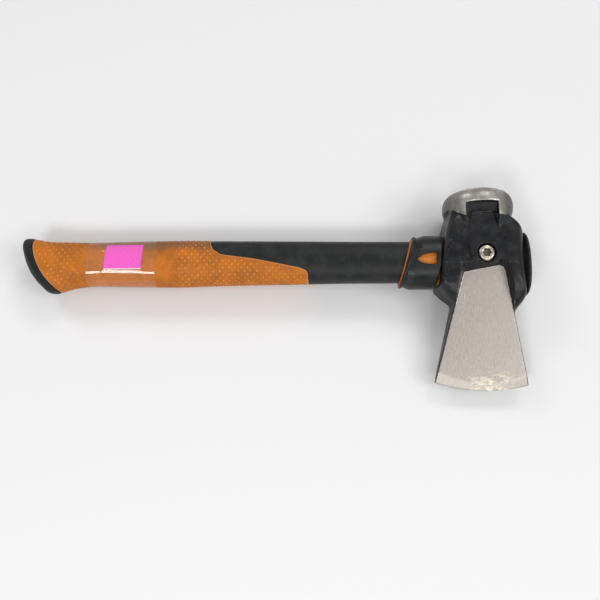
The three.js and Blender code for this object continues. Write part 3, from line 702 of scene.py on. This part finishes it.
def head_finish():
    s = Surface("head_paint_and_steel", specular_ior_level=0.3)
    bare = s.attribute("bare")
    ragged = s.math("ADD", bare, s.math("MULTIPLY", s.math("SUBTRACT", s.noise(1.6, 5), 0.5), 0.9))
    steel = s.step(ragged, -0.06, 0.1)
    y = s.axis("Y")

    # Ground steel: fine grain along the tool's y, faint blotches, pits and paint smears by the edge.
    grain = s.noise(0.34, 6, 0.7, s.stretched(1.0, 0.035, 1.0))
    coarse = s.noise(1.3, 4, 0.6, s.stretched(1.0, 0.05, 1.0))
    blotch = s.noise(13, 4, 0.6)
    tone = s.mix(s.step(grain, 0.3, 0.72), (0.37, 0.338, 0.303), (0.53, 0.488, 0.438))
    tone = s.mix(s.step(coarse, 0.62, 0.8), tone, (0.29, 0.265, 0.24))
    tone = s.mix(s.math("MULTIPLY", s.step(blotch, 0.45, 0.75), 0.35), tone, (0.47, 0.43, 0.375))
    pits = s.step(s.noise(0.9, 2, 0.5), 0.735, 0.77)
    tone = s.mix(s.math("MULTIPLY", pits, 0.75), tone, (0.10, 0.085, 0.07))
    turned = s.step(y, 24, 28)
    mottle = s.step(s.noise(6, 5, 0.6), 0.35, 0.7)
    poll_tone_and_shade = s.mix(mottle, (0.34, 0.325, 0.30), (0.56, 0.54, 0.50))
    # Painted shade: the poll's tone darkens towards its sides, from |x| 9 to 24 mm, and still more on the
    # +x side.
    poll_tone_and_shade = s.mix(s.step(s.math("ABSOLUTE", s.axis("X")), 9, 24), poll_tone_and_shade, (0.17, 0.163, 0.15))
    poll_tone_and_shade = s.mix(s.math("MULTIPLY", s.step(s.axis("X"), 9, 20), 0.8), poll_tone_and_shade, (0.08, 0.077, 0.07))
    tone = s.mix(turned, tone, poll_tone_and_shade)
    near_edge = s.step(y, -74, -84)
    off_middle = s.math("ABSOLUTE", s.math("SUBTRACT", s.axis("X"), 2.0))
    by_edge = s.math("MULTIPLY", near_edge, s.step(off_middle, 19, 8))
    smear_shape = s.noise(3.4, 6, 0.66, s.stretched(0.8, 1.3, 1.0, 0.5), 0.6)
    smear = s.math("MULTIPLY", s.step(smear_shape, 0.5, 0.56), by_edge)
    tone = s.mix(smear, tone, (0.80, 0.74, 0.60))

    # Black paint: dusty, rubbed through on the edges and scratched here and there.
    dust = s.noise(9, 5, 0.65)
    paint = s.mix(s.step(dust, 0.35, 0.75), (0.006, 0.0065, 0.0075), (0.017, 0.0175, 0.019))
    edge = s.node("NewGeometry", "Pointiness", {})
    rub = s.math("MULTIPLY", s.step(edge, 0.56, 0.64), s.step(s.noise(2.2, 5, 0.7), 0.5, 0.62))
    scratch = s.step(s.noise(0.5, 5, 0.6, s.stretched(1.0, 0.09, 1.0, 0.5)), 0.715, 0.745)
    scratch = s.math("MULTIPLY", scratch, s.step(s.noise(8, 2), 0.5, 0.62))
    specks = s.math("MULTIPLY", s.step(s.noise(0.8, 3, 0.6), 0.66, 0.70), s.step(s.noise(14, 2), 0.46, 0.6))
    marks = s.math("MAXIMUM", rub, s.math("MAXIMUM", scratch, specks), True)
    paint = s.mix(s.math("MULTIPLY", marks, 0.75), paint, (0.30, 0.29, 0.27))
    s.set("Base Color", s.mix(steel, paint, tone))

    shiny = s.lerp(s.math("MULTIPLY", turned, s.step(mottle, 0.2, 0.8)), 0.44, 0.3)
    rough_steel = s.lerp(smear, s.lerp(s.step(coarse, 0.4, 0.7), shiny, 0.52), 0.8)
    rough_paint = s.lerp(s.step(dust, 0.3, 0.7), 0.26, 0.44)
    s.set("Roughness", s.lerp(steel, rough_paint, rough_steel))
    metal = s.math("MULTIPLY", steel, s.math("SUBTRACT", 1.0, smear), True)
    s.set("Metallic", metal)
    ground = s.math("ADD", s.math("MULTIPLY", grain, 0.25), s.math("MULTIPLY", pits, -0.4))
    skin = s.lerp(steel, s.noise(1.1, 4, 0.6), ground)
    first = s.bump(skin, 0.12, 0.7)
    s.bump(steel, -0.12, 0.5, first)
    return s.material


def worn_steel(name, base=(0.56, 0.53, 0.47), cad=False, deep=False):
    """Steel with grime in patches, and painted shade in the grime colour throughout where the attribute
    deep is 1.
    """
    s = Surface(name, metallic=1.0)
    if cad:
        s.from_object()
    grime = s.math("MULTIPLY", s.step(s.noise(1.7, 5, 0.65), 0.45, 0.65), 0.6)
    # Where deep is 1, in the screw's socket, the grime colour is painted in full as painted shade in the
    # recess.
    if deep:
        grime = s.math("MAXIMUM", grime, s.math("MULTIPLY", s.attribute("deep"), 1.6))
    s.set("Base Color", s.mix(s.math("MULTIPLY", grime, 0.55), base, (0.10, 0.08, 0.05)))
    s.set("Roughness", s.lerp(grime, 0.28, 0.55))
    s.bump(s.noise(0.5, 4), 0.03, 0.5)
    return s.material


def grip_finish():
    s = Surface("grip_elastomer", specular_ior_level=0.18)
    y, x = s.axis("Y"), s.axis("X")
    dot = s.attribute("dot")
    rim = s.attribute("rim")
    cloud = s.noise(16, 6, 0.62)
    fine = s.noise(2.4, 6, 0.68)
    clean, dirty, grime = (0.54, 0.160, 0.014), (0.385, 0.120, 0.016), (0.26, 0.092, 0.026)
    base = s.mix(s.step(cloud, 0.38, 0.66), clean, dirty)
    base = s.mix(s.math("MULTIPLY", s.step(fine, 0.46, 0.72), 0.5), base, grime)
    # Painted shade: darker brown along the grip's +y edge, from about x -285 towards the head.
    near_top = s.step(s.math("ADD", y, s.math("MULTIPLY", cloud, 6.0)), 8, 14)
    top_edge_shade = s.math("MULTIPLY", near_top, s.step(x, -285, -255))
    base = s.mix(s.math("MULTIPLY", top_edge_shade, 0.85), base, (0.225, 0.098, 0.045))
    by_butt = s.step(x, -290, -312)
    base = s.mix(s.math("MULTIPLY", by_butt, 0.45), base, clean)
    on_dot = s.math("MULTIPLY", s.step(dot, 0.3, 0.9), s.step(fine, 0.75, 0.35))
    base = s.mix(on_dot, base, (0.70, 0.27, 0.06))
    # Painted highlight: paler orange within about a millimetre of the grip's ends, where its lip curves
    # down.
    base = s.mix(s.math("MULTIPLY", s.step(rim, 0.9, 0.3), 0.5), base, (0.60, 0.36, 0.20))
    specks = s.step(s.noise(0.9, 3, 0.6), 0.71, 0.75)
    base = s.mix(s.math("MULTIPLY", specks, 0.7), base, (0.10, 0.05, 0.03))
    s.set("Base Color", base)
    s.set("Roughness", s.lerp(s.step(fine, 0.35, 0.7), 0.5, 0.72))
    first = s.bump(s.noise(0.45, 4), 0.05, 0.6)
    s.bump(cloud, 0.25, 0.4, first)
    return s.material


def black_moulding(name, base=(0.0095, 0.010, 0.010), rough=(0.4, 0.55), scuffs=0.0, brown=0.0):
    """Black plastic or rubber; scuffs is the share of pale scratches, brown that of worn edges."""
    s = Surface(name, specular_ior_level=0.3)
    cloud = s.noise(8, 5, 0.6)
    dusty = tuple(min(c * 1.9 + 0.004, 1.0) for c in base)
    colour = s.mix(s.step(cloud, 0.4, 0.75), base, dusty)
    if scuffs:
        lines = s.step(s.noise(0.42, 5, 0.62, s.stretched(0.22, 1.0, 1.0, 0.9)), 0.70, 0.76)
        lines = s.math("MULTIPLY", lines, s.step(s.noise(11, 2), 0.53, 0.66))
        flecks = s.step(s.noise(0.7, 4, 0.65), 0.69, 0.74)
        flecks = s.math("MULTIPLY", flecks, s.step(s.noise(17, 2), 0.5, 0.62))
        marks = s.math("MULTIPLY", s.math("MAXIMUM", lines, flecks), scuffs)
        colour = s.mix(marks, colour, (0.26, 0.26, 0.255))
    if brown:
        edge = s.node("NewGeometry", "Pointiness", {})
        worn = s.math("MULTIPLY", s.step(edge, 0.53, 0.6), s.step(s.noise(2.5, 5, 0.7), 0.35, 0.6))
        colour = s.mix(s.math("MULTIPLY", worn, brown), colour, (0.16, 0.115, 0.08))
    s.set("Base Color", colour)
    s.set("Roughness", s.lerp(s.step(cloud, 0.3, 0.7), *rough))
    first = s.bump(s.noise(0.4, 3, 0.6), 0.05, 0.6)
    s.bump(s.noise(5, 2), 0.12, 0.4, first)
    return s.material


def cad_plain(name, base, pale, rough):
    s = Surface(name).from_object()
    s.set("Base Color", s.mix(s.step(s.noise(3, 4), 0.35, 0.7), base, pale))
    s.set("Roughness", s.lerp(s.noise(1.5, 3), rough, rough + 0.15))
    s.bump(s.noise(0.6, 3), 0.04, 0.5)
    return s.material


def label_finish():
    s = Surface("label_paper", roughness=0.55)
    x, y = s.axis("X"), s.axis("Y")
    fibre = s.noise(1.2, 4)
    pink = s.mix(s.step(fibre, 0.3, 0.7), (0.86, 0.070, 0.55), (0.91, 0.10, 0.63))
    ragged_y = s.math("ADD", y, s.math("MULTIPLY", s.noise(2.0, 3), 0.9))
    torn = s.step(ragged_y, LABEL_Y[0] + 0.95, LABEL_Y[0] + 0.7)
    s.set("Base Color", s.mix(torn, pink, (0.80, 0.74, 0.76)))
    s.bump(fibre, 0.03, 0.4)
    return s.material


def tape_finish():
    """Clear film: what is under it shows, with a glossy reflection and a trace of haze."""
    s = Surface("clear_film")
    wave = s.noise(7, 2, 0.4, s.stretched(0.5, 1.0, 1.0))
    normal = s.node("Bump", "Normal", {"Height": wave, "Distance": 0.12 * MM, "Strength": 0.25})
    clear = s.node("BsdfTransparent", "BSDF", {"Color": (0.99, 0.985, 0.97)})
    haze = s.node("BsdfDiffuse", "BSDF", {"Color": (0.85, 0.8, 0.72), "Normal": normal})
    gloss = s.node("BsdfGlossy", "BSDF", {"Color": (1, 1, 1), "Roughness": 0.04, "Normal": normal})
    body = s.node("MixShader", "Shader", {0: 0.025, 1: clear, 2: haze})
    slant = s.node("LayerWeight", "Facing", {"Blend": 0.5, "Normal": normal})
    mirror = s.math("ADD", 0.04, s.math("MULTIPLY", s.math("POWER", slant, 5.0), 0.7))
    film = s.node("MixShader", "Shader", {0: mirror, 1: body, 2: gloss})
    s.tree.links.new(film, s.tree.nodes["Material Output"].inputs["Surface"])
    return s.material


# ------------------------------------------------------------------ pieces

DETAIL = 1.0

points, faces = surface_net(head_field, (-38, -92, -25.6), (31, 53, 25.6), 0.55 * DETAIL)
add_mesh("head_forged", points, faces, head_finish(), ["head_forging"],
         attributes={"bare": head_bareness(*points.T)})

grip_left = arc_points(BUTT_SEAM[0], BUTT_SEAM[1] - 0.15, 140, 250)
grid, rim = handle_skin(grip_left, TONGUE, 150, 200, 0.5)
rows, columns = grid.shape[:2]
dot_points, dot_faces, dot = grip_dots(grip_left, TONGUE)
points = np.concatenate([grid.reshape(-1, 3), dot_points])
faces = grid_faces(rows, columns).tolist() + [[v + rows * columns for v in f] for f in dot_faces]
add_mesh("grip_moulded", points, faces, grip_finish(), ["grip_sleeve"],
         attributes={"rim": np.concatenate([rim.ravel(), np.full(len(dot_points), 9.0)]),
                     "dot": np.concatenate([np.zeros(rows * columns), dot])})

shell_left = [(x + 0.3, y) for x, y in TONGUE]
shell_right = [(COLLAR_LEFT[0] + 6 + COLLAR_LEFT[1] * y, y) for y in (-40, 40)]
grid, rim = handle_skin(shell_left, shell_right, 90, 200, 0.45)
rows, columns = grid.shape[:2]
add_mesh("shaft_moulded", grid.reshape(-1, 3), grid_faces(rows, columns),
         black_moulding("shaft_plastic", rough=(0.42, 0.58), scuffs=0.8), ["shaft_shell"])

points, faces = surface_net(butt_field, (-327.5, -26, -20), (-286, 23, 20), 0.6 * DETAIL)
add_mesh("butt_moulded", points, faces,
         black_moulding("butt_elastomer", (0.005, 0.0052, 0.005), (0.5, 0.65), brown=0.3),
         ["butt_cap"])

points, faces = surface_net(collar_field, (-60.5, -20.5, -17.5), (-27, 20.5, 17.5), 0.45 * DETAIL)
add_mesh("collar_moulded", points, faces, black_moulding("collar_plastic", rough=(0.3, 0.42), scuffs=0.4),
         ["collar"])

points, faces = cap_shape()
add_mesh("cap_moulded", points, faces,
         black_moulding("cap_elastomer", (0.012, 0.0115, 0.011), (0.4, 0.6), brown=0.7),
         ["top_cap"])

points, faces, in_socket = screw_shape(PAD_Z - 0.4, PAD_Z - 3.8, -11)
add_mesh("screw_lobed", points, faces, worn_steel("screw_steel", (0.62, 0.585, 0.50), deep=True),
         ["head_screw"], attributes={"deep": in_socket})

points, rows, columns = label_shape()
add_mesh("label_blank", points.reshape(-1, 3), grid_faces(rows, columns, False)[:, ::-1],
         label_finish(), ["label"])
points, rows, columns = tape_shape()
add_mesh("tape_film", points.reshape(-1, 3), grid_faces(rows, columns), tape_finish(),
         ["clear_tape"])

CAD_FINISHES = {
    "spring_washer": worn_steel("washer_steel", cad=True),
    "barrel_nut": worn_steel("nut_steel", cad=True),
    "core_bush": worn_steel("bush_steel", cad=True),
    "handle_core": cad_plain("glass_fibre", (0.50, 0.43, 0.27), (0.66, 0.60, 0.42), 0.45),
    "isolation_sleeve": cad_plain("sleeve_elastomer", (0.54, 0.14, 0.009), (0.60, 0.19, 0.022), 0.45),
}
for name, finish in CAD_FINISHES.items():
    for slot in NODES[name].material_slots:
        slot.material = finish

# ------------------------------------------------------------------ floor, light and camera

CAMERA_HEIGHT = 0.4402
CAMERA_ELEVATION = 73.0
CAMERA_LENS = 37.95
AIM_X = 2.7  # the point of the handle's axis, in mm, that the next value is measured to
AIM_FROM_CAMERA = (0.1299, 0.1554)
FLOOR_REACH = 3.0  # m from the middle to each side

mesh = bpy.data.meshes.new("floor")
corners = [(-FLOOR_REACH, -FLOOR_REACH, 0), (FLOOR_REACH, -FLOOR_REACH, 0),
           (FLOOR_REACH, FLOOR_REACH, 0), (-FLOOR_REACH, FLOOR_REACH, 0)]
mesh.from_pydata(corners, [], [(0, 1, 2, 3)])
floor = bpy.data.objects.new("floor", mesh)
bpy.context.scene.collection.objects.link(floor)
sheet = Surface("floor_sheet", base_color=(0.785, 0.785, 0.792), roughness=0.75)
mesh.materials.append(sheet.material)

camera = bpy.data.objects.new("camera", bpy.data.cameras.new("camera"))
aim = TO_ROW @ Vector((AIM_X, 0, 0))
camera.location = (aim.x - AIM_FROM_CAMERA[0], aim.y - AIM_FROM_CAMERA[1], CAMERA_HEIGHT)
camera.rotation_euler = (math.radians(90 - CAMERA_ELEVATION), 0, 0)
camera.data.lens = CAMERA_LENS
camera.data.sensor_width = 36.0
camera.data.clip_start = 0.01
bpy.context.scene.collection.objects.link(camera)
bpy.context.scene.camera = camera


def softbox(name, towards, distance, size, power):
    """A rectangular lamp in the direction towards, seen from the tool's middle, facing it."""
    data = bpy.data.lights.new(name, "AREA")
    data.shape = "RECTANGLE"
    data.size, data.size_y = size
    data.energy = power
    lamp = bpy.data.objects.new(name, data)
    direction = Vector(towards).normalized()
    lamp.location = direction * distance
    lamp.rotation_euler = direction.to_track_quat("Z", "Y").to_euler()
    bpy.context.scene.collection.objects.link(lamp)


softbox("key", (0.75, -0.25, 0.75), 3.0, (1.3, 1.3), 28)
softbox("strip", (-0.32, -0.60, 0.73), 1.5, (0.5, 0.26), 6.5)
softbox("front_right", (0.29, -0.62, 0.725), 1.5, (0.4, 0.3), 3.0)
softbox("back_left", (-0.6, 0.59, 0.57), 2.4, (0.7, 0.7), 9)
softbox("back_right", (0.29, 0.58, 0.67), 2.4, (0.7, 0.5), 9)

world = bpy.data.worlds.new("studio")
bpy.context.scene.world = world
world.use_nodes = True
world.node_tree.nodes["Background"].inputs["Color"].default_value = (1, 1, 1, 1)
world.node_tree.nodes["Background"].inputs["Strength"].default_value = 0.42
bpy.context.scene.view_settings.view_transform = "Standard"
